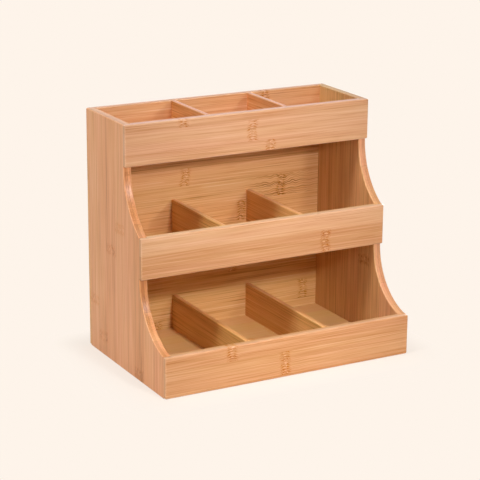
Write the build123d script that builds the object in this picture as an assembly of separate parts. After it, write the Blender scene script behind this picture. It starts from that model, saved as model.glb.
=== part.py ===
from build123d import *
from dataclasses import dataclass
import os

# An open organizer in three tiers, glued up from flat laminated bamboo boards, for pods, sachets,
# cups and stirrers. Millimetres. X runs along the length with zero at the middle, Y runs from the
# front to the back with zero at half the depth of the bottom tier, and Z goes up from the surface
# that the organizer stands on.

# Overall sizes. Each tier is a box in equal compartments, and its depth runs from the back face of the
# organizer to the face of the tier's own front board.
length = 265.0
bottom_depth = 170.0
middle_depth = 121.0
top_depth = 88.0
tier_rise = 100.0  # from the underside of one tier to the underside of the next
board_height = 40.0  # front boards and dividers, from the underside of their tier to its rim

# Boards
side_thickness = 8.0
back_thickness = 8.0
front_thickness = 8.0
floor_thickness = 5.0
divider_thickness = 5.0

# Joints. The ends of the front boards and of the back panel are rebated, and what is left of their
# thickness laps over the edges of the side panels. The floors stand in housings cut in the side panels.
front_lap = 4.0
back_lap = 4.0
housing_depth = 2.0
housing_clearance = 0.2  # over a floor in its housing, and past each of its ends

# Sanded arrises: outside edges, the inner edges of the rims, the edges of the side panels' hollow
# curves, and the tops of the dividers. None takes more than a share of the wall that carries it.
outer_round = 1.5
rim_round = 0.8
curve_round = 1.2
divider_round = 1.0
round_share = 0.45

# A cut runs past the face that it opens by the overrun, and an edge is found within the reach.
overrun = 1.0
reach = 0.01

back_face = bottom_depth / 2
back_land = back_face - back_lap
back_inside = back_face - back_thickness
half_length = length / 2
half_inside = half_length - side_thickness
compartment_width = (2 * half_inside - 2 * divider_thickness) / 3
height = 2 * tier_rise + board_height
lap_round = min(outer_round, round_share * min(front_lap, back_lap))


@dataclass(frozen=True)
class Tier:
    """One tier, by how far its front stands from the back face and how high its underside is."""

    name: str
    depth: float
    base: float

    @property
    def face(self):
        """Outside face of the front board."""
        return back_face - self.depth

    @property
    def land(self):
        """Edge of the side panels behind the laps of the front board."""
        return self.face + front_lap

    @property
    def inside(self):
        """Inner face of the front board."""
        return self.face + front_thickness

    @property
    def rim(self):
        """Top of the front board and of the dividers."""
        return self.base + board_height


tiers = [
    Tier("top", top_depth, 2 * tier_rise),
    Tier("middle", middle_depth, tier_rise),
    Tier("bottom", bottom_depth, 0),
]
ends = {"left": -1, "right": 1}


def block(x_span, y_span, z_span):
    """A square-edged board between the lowest and highest X, Y and Z."""
    spans = (x_span, y_span, z_span)
    sizes = [high - low for low, high in spans]
    lows = [low for low, high in spans]
    return Pos(*lows) * Box(*sizes, align=(Align.MIN, Align.MIN, Align.MIN))


def edges_near(solid, along, *places):
    """The straight edges of a solid that run along an axis, with their middles at the given places.

    Each place is an axis with the value that the middle of the edge has there.
    """
    found = solid.edges().filter_by(along)
    for axis, value in places:
        found = found.filter_by_position(axis, value - reach, value + reach)
    return found


def rebated_board(face, inward, thickness, lap, z_low, z_high):
    """A board over the whole length, with both ends rebated to lap over the side panels.

    face is the Y of its outside, and inward is 1 where its thickness runs to the back or -1 where it
    runs to the front. The arrises round its outside face and over its ends are rounded, and so is the
    inner edge of its top.
    """
    seat = face + inward * lap
    inner = face + inward * thickness
    plan = Polyline(
        (-half_length, face),
        (half_length, face),
        (half_length, seat),
        (half_inside, seat),
        (half_inside, inner),
        (-half_inside, inner),
        (-half_inside, seat),
        (-half_length, seat),
        close=True,
    )
    board = Pos(0, 0, z_low) * extrude(make_face(plan), amount=z_high - z_low, dir=(0, 0, 1))
    arrises = board.edges().filter_by_position(Axis.Y, face - reach, face + reach)
    for end in ends.values():
        for level in (z_low, z_high):
            arrises += edges_near(board, Axis.Y, (Axis.X, end * half_length), (Axis.Z, level))
    board = fillet(arrises, lap_round)
    rim = edges_near(board, Axis.X, (Axis.Y, inner), (Axis.Z, z_high))
    return fillet(rim, min(rim_round, round_share * thickness))


def side_outline():
    """The outline of a side panel in Y and Z, drawn down its stepped front.

    Behind each front board stands an upright land. Under the board the edge goes on from the land as an
    arc, upright where it starts, that sweeps forward to the rim of the tier below.
    """
    lines = [Line((back_land, 0), (back_land, height)), Line((back_land, height), (tiers[0].land, height))]
    for tier, below in zip(tiers, tiers[1:]):
        lines.append(Line((tier.land, tier.rim), (tier.land, tier.base)))
        lines.append(TangentArc((tier.land, tier.base), (below.land, below.rim), tangent=(0, -1)))
    front = tiers[-1]
    lines.append(Line((front.land, front.rim), (front.land, front.base)))
    lines.append(Line((front.land, 0), (back_land, 0)))
    return Curve() + lines


def side_panel(end):
    """A side panel: the stepped outline, its rounded edges, square lands and the floors' housings.

    end is -1 for the left panel and 1 for the right one.
    """
    x_low = min(end * half_inside, end * half_length)
    x_span = (x_low, x_low + side_thickness)
    outline = make_face(Plane.YZ * side_outline())
    panel = Pos(x_low, 0, 0) * extrude(outline, amount=side_thickness, dir=(1, 0, 0))
    soft = min(curve_round, round_share * side_thickness)
    panel = fillet(panel.edges().filter_by(GeomType.CIRCLE), soft)
    for tier in tiers:
        panel += block(x_span, (tier.land, tier.land + front_thickness), (tier.base, tier.rim))
    outer_top = edges_near(panel, Axis.Y, (Axis.X, end * half_length), (Axis.Z, height))
    panel = fillet(outer_top, lap_round)
    inner_top = edges_near(panel, Axis.Y, (Axis.X, end * half_inside), (Axis.Z, height))
    panel = fillet(inner_top, min(rim_round, round_share * side_thickness))
    for tier in tiers:
        panel -= housing(tier, end)
    return panel


def housing(tier, end):
    """The groove in a side panel that takes the end of a tier's floor, stopped behind the front board.

    The lowest floor is flush with the underside, so its housing is open below.
    """
    mouth = end * (half_inside - overrun)
    bottom = end * (half_inside + housing_depth)
    floor_low = tier.base if tier.base > 0 else -overrun
    floor_high = tier.base + floor_thickness + housing_clearance
    x_span = (min(mouth, bottom), max(mouth, bottom))
    return block(x_span, (tier.inside, back_inside), (floor_low, floor_high))


def tier_floor(tier):
    """The floor of a tier, between its front board and the back panel, its ends in their housings."""
    half_floor = half_inside + housing_depth - housing_clearance
    z_span = (tier.base, tier.base + floor_thickness)
    return block((-half_floor, half_floor), (tier.inside, back_inside), z_span)


def divider(tier, end):
    """A cross board from the front board to the back panel, standing on the floor, level with the rim."""
    middle = end * (compartment_width + divider_thickness) / 2
    x_span = (middle - divider_thickness / 2, middle + divider_thickness / 2)
    board = block(x_span, (tier.inside, back_inside), (tier.base + floor_thickness, tier.rim))
    tops = edges_near(board, Axis.Y, (Axis.Z, tier.rim))
    return fillet(tops, min(divider_round, round_share * divider_thickness))


def pieces():
    """Every board of the organizer, by the name of its node."""
    made = {f"side_panel_{name}": side_panel(end) for name, end in ends.items()}
    made["back_panel"] = rebated_board(back_face, -1, back_thickness, back_lap, 0, height)
    for tier in tiers:
        made[f"{tier.name}_front_board"] = rebated_board(
            tier.face, 1, front_thickness, front_lap, tier.base, tier.rim
        )
        made[f"{tier.name}_floor"] = tier_floor(tier)
        for name, end in ends.items():
            made[f"{tier.name}_divider_{name}"] = divider(tier, end)
    return made


os.makedirs("parts", exist_ok=True)
for node, solid in pieces().items():
    export_step(solid, f"parts/{node}.step")
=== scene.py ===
"""Looks of a three-tier desktop organizer glued up from flat laminated bamboo boards.

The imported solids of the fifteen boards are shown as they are. This script gives each board its own
lie of bamboo strips, sets the camera and the lamps, and puts the organizer on a pale floor. Lengths are
in millimetres where a name or a comment doesn't say metres.
"""

import logging
import math
import random
from dataclasses import dataclass, replace
from enum import Enum

import bpy
from mathutils import Matrix, Vector


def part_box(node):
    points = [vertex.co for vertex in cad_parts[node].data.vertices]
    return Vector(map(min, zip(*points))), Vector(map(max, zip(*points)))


log = logging.getLogger("organizer")

MM = 0.001
SMOOTH = {"interpolation_type": "SMOOTHSTEP"}  # setting of a range that starts and ends gently
TIERS = ("top", "middle", "bottom")

Socket = bpy.types.NodeSocket
Tree = bpy.types.NodeTree


def linear(hex_colour: str) -> tuple[float, float, float, float]:
    """Turn an sRGB colour into the linear one that Blender's sockets take.

    Args:
        hex_colour: Six hex digits after a hash sign.

    Returns:
        Red, green, blue and an alpha of 1.
    """
    channels = [int(hex_colour[place : place + 2], 16) / 255 for place in (1, 3, 5)]
    curve = [c / 12.92 if c <= 0.04045 else ((c + 0.055) / 1.055) ** 2.4 for c in channels]
    return (*curve, 1.0)


def add(
    tree: Tree,
    kind: str,
    *inputs: object,
    named: dict[str, object] | None = None,
    output: int | str = 0,
    **settings: object,
) -> Socket | None:
    """Add a node to a tree, with its settings, and fill or link its inputs.

    Args:
        tree: Node tree of the material or the world.
        kind: Type of the node without its ShaderNode prefix.
        inputs: A value or a socket for each input in turn, or None to leave that input alone.
        named: Values or sockets for inputs by their names.
        output: Which output is given back, by number or name.
        settings: Properties of the node.

    Returns:
        The output socket asked for, whose node attribute reaches the others, or None where a node
        has no outputs.
    """
    node = tree.nodes.new(f"ShaderNode{kind}")
    for name, value in settings.items():
        setattr(node, name, value)
    for place, value in [*enumerate(inputs), *(named or {}).items()]:
        if isinstance(value, Socket):
            tree.links.new(value, node.inputs[place])
        elif value is not None:
            node.inputs[place].default_value = value
    return node.outputs[output] if node.outputs else None


class Grain(Enum):
    """Which way a board's fibres run: the axes along them, across the strips and through the board."""

    LENGTHWISE = ("X", "Z", "Y")
    LEVEL = ("X", "Y", "Z")
    DEPTHWISE = ("Y", "Z", "X")
    UPRIGHT = ("Z", "Y", "X")


@dataclass(frozen=True)
class Strip:
    """One bamboo strip of a board.

    Attributes:
        edge: Where the strip ends, across the board.
        tone: How much paler than the rest it is, or darker where it is below zero.
        knuckle: Where a joint of the cane crosses it, along the board, or None for a clear strip.
        weave: From 0 to 1, how far the fibres wander beside the knuckle.
        yellow: Hue from 0 for pinkish to 1 for yellowish, or None for one that is drawn.
    """

    edge: float
    tone: float = 0.0
    knuckle: float | None = None
    weave: float = 0.0
    yellow: float | None = None


@dataclass(frozen=True)
class Board:
    """A board of the organizer and how its strips lie.

    Attributes:
        node: Name of its solid.
        grain: Which way its fibres run.
        strips: Its strips in order, from low to high across the board.
        seed: Number that the hues of strips without one are drawn from. Where it is odd, the ply on
            the higher side is the paler one.
        tone: How much paler than the rest the whole board is.
        end_tone: How much paler its end grain is, or darker where it is below zero.
        edge_light_and_shade: How much paler its narrow edges are, as painted highlight, or darker as
        painted shade where it is below zero.
        edge_hue: How far its narrow edges turn to yellow, or to pink where it is below zero.
    """

    node: str
    grain: Grain
    strips: tuple[Strip, ...]
    seed: int
    tone: float = 0.0
    end_tone: float = -0.1
    edge_light_and_shade: float = 0.0
    edge_hue: float = 0.0

    def span(self, axis: str) -> tuple[float, float]:
        """Give the lowest and highest place of the board's solid on an axis.

        Args:
            axis: X, Y or Z.

        Returns:
            The two places.
        """
        low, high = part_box(self.node)
        place = "XYZ".index(axis)
        return low[place] / MM, high[place] / MM

    def plainly_laid(self, first: float, seed: int, yellow: float | None = None) -> "Board":
        """Lay strips of one width over the board, which shows no knuckle worth listing.

        Args:
            first: Width that is left of the first strip.
            seed: Number that the tones and knuckles are drawn from.
            yellow: Hue of all the strips, as in Strip.

        Returns:
            The board with its strips.
        """
        low, high = self.span(self.grain.value[1])
        draw = random.Random(seed)
        edges = [low + first]
        while edges[-1] < high:
            edges.append(edges[-1] + LaminatedBamboo.strip_width)
        strips = []
        for edge in edges:
            knuckle = (draw.random() - 0.5) * LaminatedBamboo.knuckle_spacing
            tone = draw.uniform(-LaminatedBamboo.tone_spread, LaminatedBamboo.tone_spread)
            strips.append(Strip(edge, tone, knuckle, draw.random() ** 3, yellow))
        return replace(self, strips=tuple(strips))


@dataclass(frozen=True)
class Lie:
    """Sockets that say where a point lies in the bamboo.

    Attributes:
        along: Place along the fibres.
        across: Place across the strips.
        through: Place through the board.
        tone: Paleness of the strip.
        weave: How far the strip's fibres wander.
        lot: Number from 0 to 1 that is the strip's own, and says how yellowish it is.
        glue_line: 1 on the glue between two strips.
        knuckle: Distance from the strip's knuckle along the fibres, above and below zero.
    """

    along: Socket
    across: Socket
    through: Socket
    tone: Socket
    weave: Socket
    lot: Socket
    glue_line: Socket
    knuckle: Socket


@dataclass(frozen=True)
class LaminatedBamboo:
    """Carbonised bamboo strips, glued edge to edge, planed, sanded and lacquered satin.

    It gives the eye a warm honey tan in bands a strip wide, fine dark streaks along the fibres, a low
    ripple where a joint of the cane was planed flat, and a soft shine along the sanded arrises, from the
    thicker lacquer there and from a painted highlight that makes the rounded arrises paler.
    """

    strip_width: float = 20.3
    glue_width: float = 0.4  # of the line between two strips
    knuckle_spacing: float = 300.0  # along a strip
    ramp_reach: float = 300.0  # the strips' knuckles lie within this distance of the board's middle
    strip_shift: float = 700.0  # most that a strip's own fibres are shifted, to set them apart
    tone_spread: float = 0.07  # to each side, of strips whose tone is drawn

    knuckle_wander: float = 5.0  # of a knuckle's middle line, along the fibres
    knuckle_fade: tuple[float, float] = (2.5, 7.0)  # where a knuckle fades out, from its middle line
    column_fade: tuple[float, float] = (0.3, 2.6)  # where the paler column in its middle ends
    column_share: float = 0.25  # of the ticks, in the column
    fleck_fade: tuple[float, float] = (1.0, 3.5)  # where the flecks get fainter, from the middle line
    fleck_share: float = 0.35  # of the flecks, past that
    tick_pitch: float = 2.5  # from tick to tick across the strip
    tick_bow: float = 0.05  # sideways, per square millimetre away from the middle line
    tick_stray: float = 4.5  # sideways, by noise
    bend: float = 9.0  # sideways, of the fibres at a knuckle
    bend_reach: float = 11.0  # where they are straight again
    burl_fade: tuple[float, float] = (10.0, 58.0)  # where wavy fibres calm down, from the knuckle
    burl_drift: float = 7.0  # sideways, of wavy fibres
    ring_pitch: float = 2.1  # of the nested waves

    end_turn: tuple[float, float] = (0.55, 0.9)  # a normal's part along the fibres as end grain sets in
    edge_turn: tuple[float, float] = (0.6, 0.1)  # its part through the board as an edge sets in
    arris_turn: tuple[float, float] = (0.99, 0.8)  # its longest part as a rounded arris sets in
    seam_fade: tuple[float, float] = (0.15, 0.5)  # where the seam ends, from the middle of the thickness
    ply_contrast: float = 0.05  # of a board's two plies on its edges

    deepest: str = "#7F421A"
    deep: str = "#BA7C4A"
    honey: str = "#D09B70"
    pale: str = "#DEB08F"
    palest: str = "#F3CD9C"
    contrast: float = 0.8  # of the fibres
    hue_spread: float = 0.005  # between the most pinkish strip and the most yellowish
    patch_hue: float = 0.012  # the same for the slow patches in a strip
    tick_hue: float = -0.004  # of the knuckles' ticks, to red
    tick_strength: float = 0.15  # added to the colour in the ticks
    knuckles: float = 0.8  # contrast of the knuckles
    strength: float = 1.0  # of the colour
    ior: float = 1.34
    roughness: float = 0.34
    streak_roughness: float = 0.2  # by which the streaks vary it
    end_roughness: float = 0.14  # added to it on end grain
    lacquer: float = 0.04  # on the flat faces
    edge_lacquer: float = 0.32  # on the edges and arrises, where more of it stays
    end_lacquer: float = 0.05  # on end grain, which drinks it
    lacquer_roughness: float = 0.26

    def dress(self, board: Board) -> None:
        """Make a board's own material and assign it to the board's solid.

        Args:
            board: Board to dress.
        """
        material = bpy.data.materials.new(f"laminated_bamboo_{board.node}")
        material.use_nodes = True
        tree = material.node_tree
        tree.nodes.clear()
        lie = self.lie(tree, board)
        fibres = self.fibres(tree, lie)
        knuckle = self.knuckle(tree, lie)
        faces = self.faces(tree, board, lie)
        shade = self.shade(tree, board, lie, fibres, knuckle, faces)
        colour = self.colour(tree, shade, self.blush(tree, board, lie, knuckle, faces), knuckle)
        rough = self.gloss(tree, fibres, faces)
        lacquer = add(tree, "MapRange", faces["edge"], 0.0, 1.0, self.lacquer, self.edge_lacquer)
        lacquer = add(tree, "MapRange", faces["end"], 0.0, 1.0, lacquer, self.end_lacquer)
        bump = self.relief(tree, lie, fibres, knuckle, faces)
        surface = add(
            tree,
            "BsdfPrincipled",
            named={
                "Base Color": colour,
                "Roughness": rough,
                "IOR": self.ior,
                "Coat Weight": lacquer,
                "Coat Roughness": self.lacquer_roughness,
                "Normal": bump,
            },
        )
        add(tree, "OutputMaterial", surface)
        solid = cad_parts[board.node]
        for slot in solid.material_slots:
            slot.material = material

    def lie(self, tree: Tree, board: Board) -> Lie:
        """Find where a point lies along, across and through its board, and in which strip.

        The strips are the steps of a ramp over the board's width. A step's red is the strip's tone, its
        green the place of its knuckle, its blue its hue, by which it is told apart, and its alpha its
        weave. Two more ramps are shifted by half a glue line each way, and where they differ there is
        glue.

        Args:
            tree: Node tree of the material.
            board: Board that is dressed.

        Returns:
            The place and the strip's facts as sockets.
        """
        point = add(tree, "TexCoord", output="Object")
        scaled = add(tree, "VectorMath", point, named={"Scale": 1 / MM}, operation="SCALE")
        axes = add(tree, "SeparateXYZ", scaled).node.outputs
        along, across, through = (axes[axis] for axis in board.grain.value)
        start, end = board.span(board.grain.value[0])
        low, high = board.span(board.grain.value[1])
        middle = (start + end) / 2
        ramps = []
        for shift in (0.0, self.glue_width / 2, -self.glue_width / 2):
            place = add(tree, "MapRange", across, low - shift, high - shift, 0.0, 1.0)
            ramp = add(tree, "ValToRGB", place)
            self.step(ramp.node.color_ramp, board, low, high, middle)
            ramps.append(ramp)
        facts = add(tree, "SeparateColor", ramps[0]).node.outputs
        sides = [add(tree, "SeparateColor", ramp, output="Blue") for ramp in ramps[1:]]
        glue_line = add(tree, "Math", *sides, 0.001, operation="COMPARE")
        glue_line = add(tree, "Math", 1.0, glue_line, operation="SUBTRACT")
        reach = (middle - self.ramp_reach, middle + self.ramp_reach)
        knuckle = add(tree, "MapRange", facts["Green"], 0.0, 1.0, *reach)
        return Lie(
            along=along,
            across=across,
            through=through,
            tone=facts["Red"],
            weave=ramps[0].node.outputs["Alpha"],
            lot=facts["Blue"],
            glue_line=glue_line,
            knuckle=add(tree, "Math", along, knuckle, operation="SUBTRACT"),
        )

    def step(
        self,
        ramp: bpy.types.ColorRamp,
        board: Board,
        low: float,
        high: float,
        middle: float,
    ) -> None:
        """Set the steps of a ramp to the strips of a board.

        Args:
            ramp: Ramp to set.
            board: Board whose strips they are.
            low: Where the board starts, across its strips.
            high: Where it ends.
            middle: Middle of the board along its fibres.
        """
        ramp.interpolation = "CONSTANT"
        draw = random.Random(board.seed)
        start = low
        for number, strip in enumerate(board.strips):
            place = min(max((start - low) / (high - low), 0.0), 1.0)
            element = ramp.elements[0] if number == 0 else ramp.elements.new(place)
            element.position = place
            knuckle = 1.0
            if strip.knuckle is not None:
                knuckle = (strip.knuckle - middle) / (2 * self.ramp_reach) + 0.5
            drawn = draw.uniform(0.05, 0.95)
            yellow = drawn if strip.yellow is None else strip.yellow
            element.color = (0.5 + strip.tone + board.tone, knuckle, yellow, strip.weave)
            start = strip.edge
        if len(ramp.elements) > len(board.strips):
            ramp.elements.remove(ramp.elements[-1])

    def fibres(self, tree: Tree, lie: Lie) -> dict[str, Socket]:
        """Draw the fibres as noise that is drawn out along the strip, in four widths.

        The place across is first shifted by a slow noise, so that the streaks wander, by a quicker one
        beside a knuckle, and by a wavy one around the knuckle of a strip that has a weave. Bands are
        6 mm wide, streaks 2.1 mm and hairs 0.9 mm. Bundles are the darker dashes of the cane's veins,
        0.3 mm wide in the cane and drawn at 1 mm so that they show. Rings are a sine across the bent
        fibres, with gaps.

        Args:
            tree: Node tree of the material.
            lie: Where the point lies.

        Returns:
            The sockets bands, streaks, hairs and bundles, the first three about 0.5 in the mean, then
            rings, which runs above and below zero in nested waves where the fibres are wavy, and burl,
            which is 1 where they are waviest.
        """
        lot = add(tree, "Math", lie.lot, self.strip_shift, operation="MULTIPLY")
        place = add(tree, "CombineXYZ", lie.along, lie.across, lie.through)
        own = add(tree, "CombineXYZ", lot, lot, lot)
        place = add(tree, "VectorMath", place, own, operation="ADD")
        near = add(tree, "Math", lie.knuckle, operation="ABSOLUTE")
        beside = add(tree, "MapRange", near, 0.0, self.bend_reach, self.bend, 0.0, **SMOOTH)
        wavy = add(tree, "MapRange", near, *self.burl_fade, 1.0, 0.0, **SMOOTH)
        wavy = add(tree, "Math", wavy, lie.weave, operation="MULTIPLY")
        drift = add(tree, "Math", wavy, self.burl_drift, operation="MULTIPLY")
        shift = 0.0
        for length, width, reach in ((150.0, 20.0, 2.5), (9.0, 7.0, beside), (10.0, 16.0, drift)):
            cell = (1 / length, 1 / width, 1 / width)
            drawn = add(tree, "VectorMath", place, cell, operation="MULTIPLY")
            sway = add(tree, "TexNoise", drawn, named={"Scale": 1.0, "Detail": 1.0})
            sway = add(tree, "Math", sway, 0.5, operation="SUBTRACT")
            shift = add(tree, "Math", sway, reach, shift, operation="MULTIPLY_ADD")
        sideways = add(tree, "CombineXYZ", 0.0, shift, 0.0)
        bent = add(tree, "VectorMath", place, sideways, operation="ADD")
        made = {}
        for name, length, width, detail in (
            ("bands", 320.0, 6.0, 1.0),
            ("streaks", 150.0, 2.1, 2.0),
            ("hairs", 90.0, 0.9, 1.0),
            ("bundles", 32.0, 1.0, 0.0),
        ):
            cell = (1 / length, 1 / width, 1 / width)
            drawn = add(tree, "VectorMath", bent, cell, operation="MULTIPLY")
            made[name] = add(tree, "TexNoise", drawn, named={"Scale": 1.0, "Detail": detail})
        made["bundles"] = add(tree, "MapRange", made["bundles"], 0.58, 0.72, 0.0, 1.0, **SMOOTH)
        level = add(tree, "SeparateXYZ", bent, output="Y")
        rings = add(tree, "Math", level, 2 * math.pi / self.ring_pitch, operation="MULTIPLY")
        rings = add(tree, "Math", rings, operation="SINE")
        drawn = add(tree, "VectorMath", bent, (1 / 8, 1 / 3.5, 1 / 3.5), operation="MULTIPLY")
        gaps = add(tree, "TexNoise", drawn, named={"Scale": 1.0, "Detail": 1.0})
        gaps = add(tree, "MapRange", gaps, 0.35, 0.6, 0.5, 1.0, **SMOOTH)
        rings = add(tree, "Math", rings, gaps, operation="MULTIPLY")
        made["rings"] = add(tree, "Math", rings, wavy, operation="MULTIPLY")
        made["burl"] = wavy
        return made

    def knuckle(self, tree: Tree, lie: Lie) -> dict[str, Socket]:
        """Draw a planed-off joint of the cane across its strip.

        The cut fibres show as short brown ticks, bowed like stacked letters c, which break up and fade
        out away from the joint. Between them lie paler flecks, most in the column along its middle.

        Args:
            tree: Node tree of the material.
            lie: Where the point lies.

        Returns:
            The sockets zone, ticks and flecks, each from 0 to 1.
        """
        place = add(tree, "CombineXYZ", lie.along, lie.across, lie.through)
        drawn = add(tree, "VectorMath", place, (0.02, 1 / 9, 1 / 9), operation="MULTIPLY")
        wobble = add(tree, "TexNoise", drawn, named={"Scale": 1.0, "Detail": 1.0})
        wander = self.knuckle_wander
        wobble = add(tree, "Math", wobble, wander, -wander / 2, operation="MULTIPLY_ADD")
        away = add(tree, "Math", lie.knuckle, wobble, operation="ADD")
        size = add(tree, "Math", away, operation="ABSOLUTE")
        zone = add(tree, "MapRange", size, *self.knuckle_fade, 1.0, 0.0, **SMOOTH)
        column = add(tree, "MapRange", size, *self.column_fade, self.column_share, 1.0, **SMOOTH)
        middle = add(tree, "MapRange", size, *self.fleck_fade, 1.0, self.fleck_share, **SMOOTH)
        drawn = add(tree, "VectorMath", place, (1 / 2.8, 1 / 2.0, 1 / 2.0), operation="MULTIPLY")
        rough = add(tree, "TexNoise", drawn, named={"Scale": 1.0, "Detail": 1.0})
        bow = add(tree, "Math", away, away, operation="MULTIPLY")
        bow = add(tree, "Math", bow, self.tick_bow, lie.across, operation="MULTIPLY_ADD")
        bow = add(tree, "Math", rough, self.tick_stray, bow, operation="MULTIPLY_ADD")
        bow = add(tree, "Math", bow, 2 * math.pi / self.tick_pitch, operation="MULTIPLY")
        wave = add(tree, "Math", bow, operation="SINE")
        breaks = add(tree, "MapRange", rough, 0.36, 0.56, 0.0, 1.0, **SMOOTH)
        broken = add(tree, "Math", zone, breaks, operation="MULTIPLY")
        ticks = add(tree, "MapRange", wave, -0.1, 0.8, 0.0, 1.0, **SMOOTH)
        flecks = add(tree, "MapRange", wave, -0.1, -0.85, 0.0, 1.0, **SMOOTH)
        flecks = add(tree, "Math", flecks, broken, operation="MULTIPLY")
        flecks = add(tree, "Math", flecks, middle, operation="MULTIPLY")
        broken = add(tree, "Math", broken, column, operation="MULTIPLY")
        ticks = add(tree, "Math", ticks, broken, operation="MULTIPLY")
        return {"zone": zone, "ticks": ticks, "flecks": flecks}

    def faces(self, tree: Tree, board: Board, lie: Lie) -> dict[str, Socket]:
        """Tell a board's end grain, its long edges and its rounded arrises apart by their normals.

        Args:
            tree: Node tree of the material.
            board: Board that is dressed.
            lie: Where the point lies.

        Returns:
            The sockets end, edge, long for an edge along the fibres, and arris, each from 0 to 1, then
            seam, which is 1 on a long edge where the two plies of the board meet, and ply, which is
            above zero on one of them.
        """
        normal = add(tree, "TexCoord", output="Normal")
        size = add(tree, "VectorMath", normal, operation="ABSOLUTE")
        axes = add(tree, "SeparateXYZ", size).node.outputs
        along, across, through = (axes[axis] for axis in board.grain.value)
        end = add(tree, "MapRange", along, *self.end_turn, 0.0, 1.0, **SMOOTH)
        edge = add(tree, "MapRange", through, *self.edge_turn, 0.0, 1.0, **SMOOTH)
        most = add(tree, "Math", along, across, operation="MAXIMUM")
        if board.grain is Grain.UPRIGHT:
            # A side panel's hollow edges face every way in its plane without being an arris.
            squares = add(tree, "Math", through, through, operation="MULTIPLY")
            rest = add(tree, "Math", 1.0, squares, operation="SUBTRACT")
            most = add(tree, "Math", rest, operation="SQRT")
        most = add(tree, "Math", most, through, operation="MAXIMUM")
        arris = add(tree, "MapRange", most, *self.arris_turn, 0.0, 1.0, **SMOOTH)
        low, high = board.span(board.grain.value[2])
        depth = add(tree, "Math", lie.through, (low + high) / 2, operation="SUBTRACT")
        ply = add(tree, "Math", depth, operation="SIGN")
        ply = add(tree, "Math", ply, edge, operation="MULTIPLY")
        depth = add(tree, "Math", depth, operation="ABSOLUTE")
        seam = add(tree, "MapRange", depth, *self.seam_fade, 1.0, 0.0, **SMOOTH)
        rest = add(tree, "Math", 1.0, end, operation="SUBTRACT")
        long = add(tree, "Math", edge, rest, operation="MULTIPLY")
        seam = add(tree, "Math", seam, long, operation="MULTIPLY")
        return {"end": end, "edge": edge, "long": long, "arris": arris, "seam": seam, "ply": ply}

    def shade(
        self,
        tree: Tree,
        board: Board,
        lie: Lie,
        fibres: dict[str, Socket],
        knuckle: dict[str, Socket],
        faces: dict[str, Socket],
    ) -> Socket:
        """Add up how pale a point is, from 0 to 1, with 0.5 for plain bamboo.

        Args:
            tree: Node tree of the material.
            board: Board that is dressed.
            lie: Where the point lies.
            fibres: Sockets of the fibres.
            knuckle: Sockets of the knuckle.
            faces: Sockets of the faces.

        Returns:
            The paleness.
        """
        grain = 0.0
        for part, weight, middle in (
            (fibres["bands"], 0.12, 0.5),
            (fibres["streaks"], 0.24, 0.5),
            (fibres["hairs"], 0.62, 0.5),
            (fibres["bundles"], -0.07, 0.1),
        ):
            centred = add(tree, "Math", part, middle, operation="SUBTRACT")
            grain = add(tree, "Math", centred, weight, grain, operation="MULTIPLY_ADD")
        calm = self.contrast
        for part, loss in ((faces["end"], 0.3), (faces["edge"], 0.5)):
            calm = add(tree, "Math", part, -loss * self.contrast, calm, operation="MULTIPLY_ADD")
        total = add(tree, "Math", grain, calm, lie.tone, operation="MULTIPLY_ADD")
        ply_tone = self.ply_contrast if board.seed % 2 else -self.ply_contrast
        for part, weight in (
            (fibres["rings"], 0.17 * self.knuckles),
            (fibres["burl"], -0.13),
            (knuckle["zone"], -0.11 * self.knuckles),
            (knuckle["ticks"], -0.14 * self.knuckles),
            (knuckle["flecks"], 0.3 * self.knuckles),
            (lie.glue_line, -0.08),
            (faces["seam"], -0.08),
            (faces["ply"], ply_tone),
            # painted highlight: rounded arrises are paler, as if they caught the light
            (faces["arris"], 0.13),
            (faces["end"], board.end_tone),
            # painted highlight or painted shade on the long narrow edges, such as the lit top rims
            (faces["long"], board.edge_light_and_shade),
        ):
            total = add(tree, "Math", part, weight, total, operation="MULTIPLY_ADD")
        return total

    def blush(
        self,
        tree: Tree,
        board: Board,
        lie: Lie,
        knuckle: dict[str, Socket],
        faces: dict[str, Socket],
    ) -> Socket:
        """Vary the hue between pinkish and yellowish, by the strip and in slow patches within it.

        Args:
            tree: Node tree of the material.
            board: Board that is dressed.
            lie: Where the point lies.
            knuckle: Sockets of the knuckle, whose ticks are redder.
            faces: Sockets of the faces.

        Returns:
            The hue as the hue node takes it, with 0.5 for no change.
        """
        place = add(tree, "CombineXYZ", lie.along, lie.across, lie.through)
        drawn = add(tree, "VectorMath", place, (1 / 160, 1 / 9, 1 / 9), operation="MULTIPLY")
        patches = add(tree, "TexNoise", drawn, named={"Scale": 1.0, "Detail": 1.0})
        spread = self.patch_hue
        hue = add(tree, "Math", patches, spread, 0.5 - spread / 2, operation="MULTIPLY_ADD")
        spread = self.hue_spread
        own = add(tree, "Math", lie.lot, spread, -spread / 2, operation="MULTIPLY_ADD")
        hue = add(tree, "Math", hue, own, operation="ADD")
        hue = add(tree, "Math", faces["long"], board.edge_hue, hue, operation="MULTIPLY_ADD")
        return add(tree, "Math", knuckle["ticks"], self.tick_hue, hue, operation="MULTIPLY_ADD")

    def colour(self, tree: Tree, shade: Socket, hue: Socket, knuckle: dict[str, Socket]) -> Socket:
        """Turn the paleness into colour, from the brown of the veins to the straw of the palest fibres.

        Args:
            tree: Node tree of the material.
            shade: Paleness from 0 to 1.
            hue: Hue as the hue node takes it.
            knuckle: Sockets of the knuckle, whose ticks are stronger in colour.

        Returns:
            The colour.
        """
        colour = add(tree, "ValToRGB", shade)
        ramp = colour.node.color_ramp
        tints = (
            (0.0, self.deepest),
            (0.3, self.deep),
            (0.5, self.honey),
            (0.72, self.pale),
            (1.0, self.palest),
        )
        for number, (place, tint) in enumerate(tints):
            element = ramp.elements[number] if number < 2 else ramp.elements.new(place)
            element.position = place
            element.color = linear(tint)
        more = self.tick_strength
        strong = add(tree, "Math", knuckle["ticks"], more, self.strength, operation="MULTIPLY_ADD")
        return add(tree, "HueSaturation", named={"Hue": hue, "Saturation": strong, "Color": colour})

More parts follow.
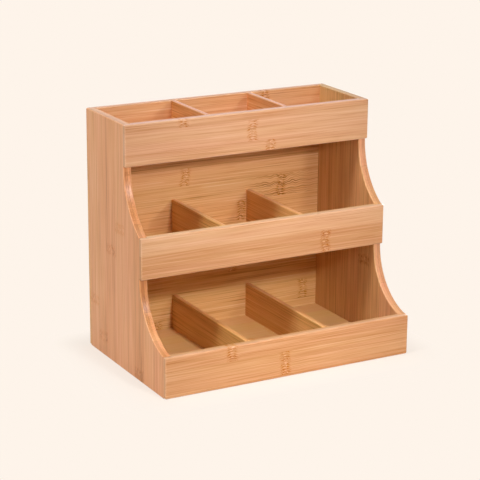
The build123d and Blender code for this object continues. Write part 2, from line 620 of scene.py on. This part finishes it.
    def gloss(self, tree: Tree, fibres: dict[str, Socket], faces: dict[str, Socket]) -> Socket:
        """Work out the roughness: the streaks vary it, and end grain is duller.

        Args:
            tree: Node tree of the material.
            fibres: Sockets of the fibres.
            faces: Sockets of the faces.

        Returns:
            The roughness.
        """
        centred = add(tree, "Math", fibres["streaks"], 0.5, operation="SUBTRACT")
        vary = self.streak_roughness
        rough = add(tree, "Math", centred, vary, self.roughness, operation="MULTIPLY_ADD")
        return add(tree, "Math", faces["end"], self.end_roughness, rough, operation="MULTIPLY_ADD")

    def relief(
        self,
        tree: Tree,
        lie: Lie,
        fibres: dict[str, Socket],
        knuckle: dict[str, Socket],
        faces: dict[str, Socket],
    ) -> Socket:
        """Raise the surface by what sanding leaves: hundredths of a millimetre.

        Args:
            tree: Node tree of the material.
            lie: Where the point lies.
            fibres: Sockets of the fibres.
            knuckle: Sockets of the knuckle.
            faces: Sockets of the faces.

        Returns:
            The bumped normal.
        """
        height = add(tree, "Math", fibres["streaks"], 0.02, operation="MULTIPLY")
        for part, depth in (
            (fibres["hairs"], 0.012),
            (fibres["bundles"], -0.008),
            (knuckle["ticks"], -0.008),
            (lie.glue_line, -0.02),
            (faces["seam"], -0.02),
        ):
            height = add(tree, "Math", part, depth, height, operation="MULTIPLY_ADD")
        return add(tree, "Bump", named={"Strength": 1.0, "Distance": MM, "Height": height})


@dataclass
class SidePanels:
    """The two end panels, with upright fibres, hollow front curves and square lands."""

    left_finish: LaminatedBamboo
    right_finish: LaminatedBamboo
    left: tuple[Strip, ...] = (
        Strip(-60.5, -0.01),
        Strip(-40.3, 0.02),
        Strip(-20.1, -0.09, 6.0, 0.3),
        Strip(0.1, 0.01),
        Strip(20.3, 0.03, 138.0),
        Strip(40.6, -0.04, 112.0),
        Strip(60.8, 0.01, 19.0, 0.6),
        Strip(81.0, 0.03, 52.0),
    )
    # Painted shade: the right panel's strips darken in the middle and turn yellower towards the back,
    # for its inner face, which lies in shade.
    right: tuple[Strip, ...] = (
        Strip(-65.6, 0.0, None, 0.0, 0.3),
        Strip(-45.3, 0.0, 12.0, 0.0, 0.2),
        Strip(-25.0, -0.06, None, 0.0, 0.5),
        Strip(-4.7, -0.07, 78.0, 0.1, 0.6),
        Strip(15.6, -0.06, None, 0.0, 0.45),
        Strip(35.9, -0.05, None, 0.0, 0.7),
        Strip(56.2, -0.01, 197.0, 0.0, 0.8),
        Strip(81.0, 0.03, None, 0.0, 0.85),
    )

    def dress(self) -> list[Board]:
        """Dress both panels.

        Returns:
            The boards that were dressed.
        """
        # The left panel's hollow edges get painted shade, the right panel's a little painted highlight.
        left = Board("side_panel_left", Grain.UPRIGHT, self.left, seed=1, tone=0.05, edge_light_and_shade=-0.21)
        # The right panel's lower tone is painted shade too.
        right = Board(
            "side_panel_right",
            Grain.UPRIGHT,
            self.right,
            seed=2,
            tone=-0.02,
            end_tone=-0.02,
            edge_light_and_shade=0.03,
            edge_hue=-0.014,
        )
        self.left_finish.dress(left)
        self.right_finish.dress(right)
        return [left, right]


@dataclass
class BackPanel:
    """The back board, one piece over the whole height, with fibres along the length."""

    finish: LaminatedBamboo
    # Partly painted light: besides each strip's own tone and hue, the strips are yellower towards the
    # bottom, painting the warmer light deep in the box, and the top ones pinker and paler, painting the
    # brighter top tier.
    strips: tuple[Strip, ...] = (
        Strip(13.3, 0.02, -62.0, 0.0, 0.85),
        Strip(34.4, 0.01, 108.0, 0.15, 0.8),
        Strip(54.5, -0.02, None, 0.0, 0.9),
        Strip(74.5, 0.04, 24.0, 0.1, 0.8),
        Strip(93.0, -0.02, 66.0, 0.0, 0.9),
        Strip(108.0, 0.03, -80.0, 0.0, 0.7),
        Strip(129.0, 0.015, 34.4, 0.0, 0.55),
        Strip(151.0, 0.055, 80.5, 1.0, 0.6),
        Strip(169.0, 0.055, -30.1, 0.0, 0.5),
        # painted shadow: this strip is darker where the top front board shades the wall below it
        Strip(189.5, -0.11, None, 0.0, 0.65),
        Strip(210.0, 0.0, 5.0, 0.0, 0.3),
        Strip(230.5, 0.06, -150.0, 0.0, 0.1),
        Strip(241.0, 0.05, 60.0, 0.0, 0.15),
    )

    def dress(self) -> list[Board]:
        """Dress the panel.

        Returns:
            The board that was dressed.
        """
        board = Board("back_panel", Grain.LENGTHWISE, self.strips, seed=3, tone=0.08, edge_hue=-0.008)
        self.finish.dress(board)
        return [board]


@dataclass
class FrontBoards:
    """The three front boards, rebated over the side panels, with fibres along the length."""

    bottom_finish: LaminatedBamboo
    middle_finish: LaminatedBamboo
    top_finish: LaminatedBamboo
    first_seed: int = 4  # the top board's, and the others' follow
    end_tone: float = 0.03
    top: tuple[Strip, ...] = (
        Strip(211.0, -0.02, 22.0),
        Strip(232.3, 0.03, 1.5),
        Strip(241.0, -0.03, -71.5),
    )
    middle: tuple[Strip, ...] = (
        Strip(122.6, -0.06, 66.0),
        Strip(141.0, 0.05, None),
    )
    bottom: tuple[Strip, ...] = (
        Strip(2.5, -0.04, None),
        Strip(25.6, 0.01, -6.0, 0.2),
        Strip(41.0, -0.02, -63.5),
    )

    def dress(self) -> list[Board]:
        """Dress the three boards.

        Returns:
            The boards that were dressed.
        """
        boards = []
        # The fifth value is painted highlight on each board's long edges, above all its lit top rim.
        for tier, strips, finish, tone, edge_light_and_shade, edge_hue in (
            ("top", self.top, self.top_finish, -0.02, 0.3, -0.016),
            ("middle", self.middle, self.middle_finish, -0.03, 0.29, 0.008),
            ("bottom", self.bottom, self.bottom_finish, -0.04, 0.18, 0.007),
        ):
            board = Board(
                f"{tier}_front_board",
                Grain.LENGTHWISE,
                strips,
                seed=self.first_seed + len(boards),
                tone=tone,
                end_tone=self.end_tone,
                edge_light_and_shade=edge_light_and_shade,
                edge_hue=edge_hue,
            )
            finish.dress(board)
            boards.append(board)
        return boards


@dataclass
class Floors:
    """The floors of the three tiers, with fibres along the length."""

    finish: LaminatedBamboo
    first_width: float = 9.0  # of the strip at the front
    first_seed: int = 7  # the top floor's, and the others' follow
    tone: float = 0.4
    first_draw: int = 31  # number that the top floor's strips are drawn from, and the others' follow

    def dress(self) -> list[Board]:
        """Dress the three floors.

        Returns:
            The boards that were dressed.
        """
        boards = []
        for number, tier in enumerate(TIERS):
            seed = self.first_seed + number
            board = Board(f"{tier}_floor", Grain.LEVEL, (), seed=seed, tone=self.tone)
            board = board.plainly_laid(self.first_width, self.first_draw + number)
            self.finish.dress(board)
            boards.append(board)
        return boards


@dataclass
class Dividers:
    """The six cross boards between the compartments, with fibres from the front to the back."""

    finish: LaminatedBamboo
    top_finish: LaminatedBamboo
    first_width: float = 8.0  # of the first divider's lowest strip
    stagger: float = 2.5  # by which the next divider's lowest strip is wider
    first_seed: int = 11  # the first divider's, and the others' follow
    hues: tuple[tuple[str, float], ...] = (("left", 0.6), ("right", 0.2))  # as Strip.yellow
    # painted highlight on the dividers' long edges, their tops most of all
    edge_light_and_shade: float = 0.12
    draws: tuple[int, ...] = (74, 113, 115, 70, 77, 85)  # numbers that the strips are drawn from

    def dress(self) -> list[Board]:
        """Dress the six dividers.

        Returns:
            The boards that were dressed.
        """
        boards = []
        for tier in TIERS:
            # Painted light: the top tier's dividers take the pinker finish and the lower ones the golden
            # one, as the top tier is brighter and the light deeper in the box is warmer.
            finish = self.top_finish if tier == "top" else self.finish
            tone, edge_hue = (0.04, -0.02) if tier == "top" else (0.05, -0.013)
            for end, yellow in self.hues:
                number = len(boards)
                board = Board(
                    f"{tier}_divider_{end}",
                    Grain.DEPTHWISE,
                    (),
                    seed=self.first_seed + number,
                    tone=tone,
                    edge_light_and_shade=self.edge_light_and_shade,
                    edge_hue=edge_hue,
                )
                first = self.first_width + self.stagger * number
                board = board.plainly_laid(first, self.draws[number], yellow)
                finish.dress(board)
                boards.append(board)
        return boards


@dataclass(frozen=True)
class Lamp:
    """A round area lamp.

    Attributes:
        name: Name of the lamp.
        place: Where its middle is, in metres.
        aim: Point that it faces, in metres.
        size: Its diameter in metres.
        power: Its power in watts.
        spread: Spread of its beam in degrees.
        colour: Colour of its light.
    """

    name: str
    place: tuple[float, float, float]
    aim: tuple[float, float, float]
    size: float
    power: float
    spread: float = 180.0
    colour: str = "#FFFFFF"

    def hang(self) -> None:
        """Make the lamp and point it at its aim."""
        light = bpy.data.lights.new(self.name, "AREA")
        light.shape = "DISK"
        light.size = self.size
        light.energy = self.power
        light.spread = math.radians(self.spread)
        light.color = linear(self.colour)[:3]
        lamp = bpy.data.objects.new(self.name, light)
        bpy.context.collection.objects.link(lamp)
        lamp.visible_camera = False
        lamp.location = self.place
        beam = Vector(self.aim) - Vector(self.place)
        lamp.rotation_euler = beam.to_track_quat("-Z", "Y").to_euler()


@dataclass
class Studio:
    """The pale floor, the camera, the lamps and the world. Places are in metres.

    Attributes:
        backdrop: Colour that the camera sees round the organizer.
        floor_tint: Colour of the floor in its own light and shade.
        floor_half: Half the floor's width.
        floor_drop: How far the floor lies under the organizer.
        foot: Half the length and half the depth of what stands on the floor.
        shade_share: Share of the backdrop's colour that the floor shows next to the foot.
        shade_reach: How far from the foot it shows nothing else.
        azimuth: Where the camera stands, in degrees round the organizer from straight in front.
        elevation: How far above the horizon it stands, in degrees.
        roll: How far it leans, in degrees.
        distance: How far it stands from its aim.
        aim: Point that it looks at.
        lens: Focal length in millimetres for the sensor's width.
        sensor: Width of the sensor in millimetres.
        room_tint: Colour of the even light from all round.
        ambient: Its strength.
        lamps: Lamps that light the organizer.
    """

    backdrop: str = "#FEF4EA"
    floor_tint: str = "#F4ECE2"
    floor_half: float = 6.0
    floor_drop: float = 0.0002
    foot: tuple[float, float] = (0.1325, 0.085)
    shade_share: float = 0.7
    shade_reach: float = 0.04
    azimuth: float = -28.7905
    elevation: float = 16.5801
    roll: float = 0.4497
    distance: float = 1.67171
    aim: tuple[float, float, float] = (-0.00832, 0.00209, 0.1127)
    lens: float = 129.085
    sensor: float = 36.0
    room_tint: str = "#FFFAF6"
    ambient: float = 0.045
    lamps: tuple[Lamp, ...] = (
        Lamp("right_bench_lamp", (0.25, -0.65, 0.43), (0.0, 0.0, 0.25), 0.16, 0.128, spread=45.0),
        Lamp("middle_bench_lamp", (0.005, -0.65, 0.44), (0.0, -0.07, -0.07), 0.07, 0.61, spread=75.0),
        Lamp("side_lamp", (-1.93, -0.17, 0.62), (-0.1, 0.0, 0.12), 0.45, 3.9),
        Lamp("high_side_lamp", (-1.35, -0.3, 1.55), (-0.1, 0.0, 0.12), 0.45, 15.2),
        Lamp("slanting_lamp", (-0.3, -1.3, 1.35), (0.0, 0.0, 0.12), 0.5, 3.0),
        Lamp("overhead_lamp", (0.0, 0.0, 2.0), (0.0, 0.0, 0.12), 1.5, 9.8),
        Lamp("back_lamp", (1.25, 1.25, 0.17), (0.05, 0.0, 0.12), 0.3, 11.0),
    )

    def build(self) -> None:
        """Set up everything round the organizer."""
        self.lay_floor()
        self.light_world()
        for lamp in self.lamps:
            lamp.hang()
        self.set_camera()
        bpy.context.scene.view_settings.view_transform = "Standard"

    def lay_floor(self) -> None:
        """Lay the floor just under the organizer.

        The camera and reflections see it in the backdrop's colour, with a share of the real light and
        shade that fades out away from the foot of the organizer.
        """
        half = self.floor_half
        mesh = bpy.data.meshes.new("studio_floor")
        corners = [(-half, -half), (half, -half), (half, half), (-half, half)]
        mesh.from_pydata([(x, y, -self.floor_drop) for x, y in corners], [], [(0, 1, 2, 3)])
        floor = bpy.data.objects.new("studio_floor", mesh)
        bpy.context.collection.objects.link(floor)
        material = bpy.data.materials.new("matt_floor_paint")
        material.use_nodes = True
        tree = material.node_tree
        tree.nodes.clear()
        tint = linear(self.floor_tint)
        paint = add(tree, "BsdfPrincipled", named={"Base Color": tint, "Roughness": 0.9})
        plain = add(tree, "Emission", linear(self.backdrop), 1.0)
        place = add(tree, "TexCoord", output="Object")
        away = add(tree, "VectorMath", place, operation="ABSOLUTE")
        away = add(tree, "VectorMath", away, (*self.foot, 0.0), operation="SUBTRACT")
        away = add(tree, "VectorMath", away, (0.0, 0.0, 0.0), operation="MAXIMUM")
        away = add(tree, "VectorMath", away, operation="LENGTH", output="Value")
        fade = (0.0, self.shade_reach, self.shade_share, 1.0)
        share = add(tree, "MapRange", away, *fade, **SMOOTH)
        share = add(tree, "Math", share, self.backdrop_rays(tree), operation="MULTIPLY")
        add(tree, "OutputMaterial", add(tree, "MixShader", share, paint, plain))
        mesh.materials.append(material)

    def light_world(self) -> None:
        """Light the room evenly, and show the backdrop's colour to the camera and in reflections."""
        world = bpy.data.worlds.new("studio")
        bpy.context.scene.world = world
        world.use_nodes = True
        tree = world.node_tree
        tree.nodes.clear()
        room = add(tree, "Background", linear(self.room_tint), self.ambient)
        plain = add(tree, "Background", linear(self.backdrop), 1.0)
        seen = self.backdrop_rays(tree)
        add(tree, "OutputWorld", add(tree, "MixShader", seen, room, plain))

    def backdrop_rays(self, tree: Tree) -> Socket:
        """Give 1 for a ray that sees the plain backdrop: the camera's, a reflected or a refracted one.

        Args:
            tree: Node tree of the floor's material or of the world.

        Returns:
            The ray's share of the backdrop.
        """
        rays = add(tree, "LightPath").node.outputs
        seen = add(tree, "Math", rays["Is Camera Ray"], rays["Is Glossy Ray"], operation="MAXIMUM")
        return add(tree, "Math", seen, rays["Is Transmission Ray"], operation="MAXIMUM")

    def set_camera(self) -> None:
        """Stand the camera where the photograph was taken from."""
        camera = bpy.data.cameras.new("camera")
        camera.sensor_width = self.sensor
        camera.lens = self.lens
        camera.clip_start = 0.01
        camera.clip_end = 50.0
        turn, lift, lean = (math.radians(angle) for angle in (self.azimuth, self.elevation, self.roll))
        level = math.cos(lift)
        back = Vector((math.sin(turn) * level, -math.cos(turn) * level, math.sin(lift)))
        right = Vector((0.0, 0.0, 1.0)).cross(back).normalized()
        up = back.cross(right)
        leaned_right = right * math.cos(lean) + up * math.sin(lean)
        leaned_up = up * math.cos(lean) - right * math.sin(lean)
        holder = bpy.data.objects.new("camera", camera)
        bpy.context.collection.objects.link(holder)
        turned = Matrix((leaned_right, leaned_up, back)).transposed().to_4x4()
        holder.matrix_world = Matrix.Translation(Vector(self.aim) + back * self.distance) @ turned
        bpy.context.scene.camera = holder


def main() -> None:
    """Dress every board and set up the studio."""
    logging.basicConfig(level=logging.INFO, format="%(message)s")
    shell = LaminatedBamboo(contrast=0.74, strength=1.03, edge_lacquer=0.06)
    side = LaminatedBamboo(
        deep="#BC7C4C",
        honey="#DF9D6B",
        pale="#EBB187",
        palest="#F2CBAA",
        contrast=1.1,
        knuckles=0.5,
        strength=1.03,
        edge_lacquer=0.3,
        end_lacquer=0.9,
    )
    amber = LaminatedBamboo(
        deepest="#77431B",
        deep="#B98048",
        honey="#DAA067",
        pale="#E6B481",
        palest="#F0CCA4",
        contrast=1.3,
        knuckles=1.3,
    )
    mixed = replace(amber, hue_spread=0.026, knuckles=1.2, lacquer=0.12)
    # tawny is a duller copy of amber, painting the shade on the right panel's inner face.
    tawny = replace(
        amber,
        hue_spread=0.026,
        contrast=0.85,
        knuckles=0.8,
        strength=0.96,
        lacquer=0.08,
        edge_lacquer=0.45,
        end_lacquer=0.4,
    )
    ruddy = replace(
        amber,
        deep="#B87845",
        honey="#DC9A68",
        pale="#E8AE82",
        strength=1.07,
        lacquer=0.05,
        edge_lacquer=0.8,
    )
    golden = LaminatedBamboo(
        deepest="#76481A",
        deep="#BA8A40",
        honey="#DEAA62",
        pale="#E9BA78",
        palest="#EFC98E",
        contrast=1.35,
        hue_spread=0.016,
        knuckles=1.0,
        lacquer=0.12,
        edge_lacquer=0.12,
    )
    for assembly in (
        SidePanels(side, tawny),
        BackPanel(mixed),
        FrontBoards(
            shell,
            replace(shell, strength=0.99),
            replace(shell, strength=0.98, edge_lacquer=0.4),
        ),
        Floors(replace(golden, contrast=0.8, lacquer=0.1)),
        Dividers(golden, ruddy),
    ):
        for board in assembly.dress():
            log.info("%s: %s in %d strips", type(assembly).__name__, board.node, len(board.strips))
    Studio().build()
    log.info("studio set up")


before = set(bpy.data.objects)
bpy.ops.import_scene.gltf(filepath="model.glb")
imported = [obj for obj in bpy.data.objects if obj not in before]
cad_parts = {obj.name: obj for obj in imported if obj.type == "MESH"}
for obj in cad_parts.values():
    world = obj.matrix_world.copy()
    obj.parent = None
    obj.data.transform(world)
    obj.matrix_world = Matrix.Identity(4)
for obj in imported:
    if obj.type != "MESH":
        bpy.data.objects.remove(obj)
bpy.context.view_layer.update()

if __name__ == "__main__":
    main()
